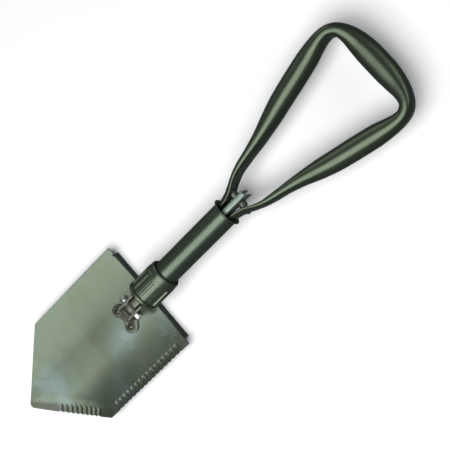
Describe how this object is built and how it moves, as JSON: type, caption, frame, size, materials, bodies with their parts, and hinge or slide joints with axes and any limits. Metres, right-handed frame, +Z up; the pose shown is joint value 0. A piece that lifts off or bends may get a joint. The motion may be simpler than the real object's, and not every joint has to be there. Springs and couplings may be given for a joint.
{
  "type": "camp shovel",
  "caption": "Folding camp shovel: dished pointed blade with a fluted edge on a riveted hinge, ribbed locking nut, sliding tube and a folding D handle.",
  "frame": {"origin": "on the ground under the middle of the opened tool, which lies on its back on its tread flange", "axes": "+Y from the blade's point to the D handle's grip, +Z up out of the blade's front face, +X to the fluted side"},
  "size_m": [0.146, 0.6, 0.0516],
  "materials": {
    "blade_paint": "olive satin paint, lightly scuffed",
    "bracket_paint": "brownish olive satin paint, worn on its edges",
    "nut_paint": "olive satin paint over a ribbed casting",
    "tube_paint": "smooth olive semi-gloss paint",
    "link_paint": "pale grey-green paint",
    "grip_paint": "olive semi-gloss paint over a bent tube",
    "rivet_steel": "painted rivet with a worn crown",
    "bare_steel": "bare turned steel",
    "dark_steel": "oiled dark steel",
    "black_rubber": "matt black rubber",
    "bush_plastic": "moulded dark plastic"
  },
  "bodies": {
    "shaft_core": {"hinge_tongue": "bracket_paint", "threaded_socket": "dark_steel", "tie_rod": "dark_steel", "link_channel": "link_paint", "link_rivet": "dark_steel", "handle_pivot_pin": "dark_steel", "pivot_spacer_left": "dark_steel", "pivot_spacer_right": "dark_steel"},
    "blade_assembly": {"blade": "blade_paint", "hinge_yoke": "bracket_paint", "hinge_pin": "bare_steel", "blade_rivet_left": "rivet_steel", "blade_rivet_right": "rivet_steel", "hinge_washer_left": "dark_steel", "hinge_washer_right": "dark_steel"},
    "nut_carriage": {"thrust_ring": "nut_paint", "nut_seal": "black_rubber"},
    "nut": {"locking_nut": "nut_paint"},
    "sliding_tube": {"handle_tube": "tube_paint", "tube_ferrule": "tube_paint", "tube_bush": "bush_plastic"},
    "grip": {"grip_frame": "grip_paint"}
  },
  "joints": [
    {"name": "blade_fold", "type": "hinge", "parent": "shaft_core", "child": "blade_assembly", "pos_m": [0, -0.106, 0.0316], "axis": [-1, 0, 0], "range_deg": [0, 180]},
    {"name": "nut_travel", "type": "slide", "parent": "shaft_core", "child": "nut_carriage", "axis": [0, 1, 0], "range_m": [0, 0.0161]},
    {"name": "nut_turn", "type": "hinge", "parent": "nut_carriage", "child": "nut", "pos_m": [0, -0.066, 0.0316], "axis": [0, 1, 0], "range_deg": [0, 1441]},
    {"name": "tube_slide", "type": "slide", "parent": "shaft_core", "child": "sliding_tube", "axis": [0, -1, 0], "range_m": [0, 0.02]},
    {"name": "handle_fold", "type": "hinge", "parent": "shaft_core", "child": "grip", "pos_m": [0, 0.0755, 0.0316], "axis": [1, 0, 0], "range_deg": [0, 180]}
  ],
  "couplings": [
    {"joint": "nut_travel", "follows": "blade_fold", "m_per_rad": 0.005093},
    {"joint": "nut_turn", "follows": "blade_fold", "ratio": 8}
  ]
}
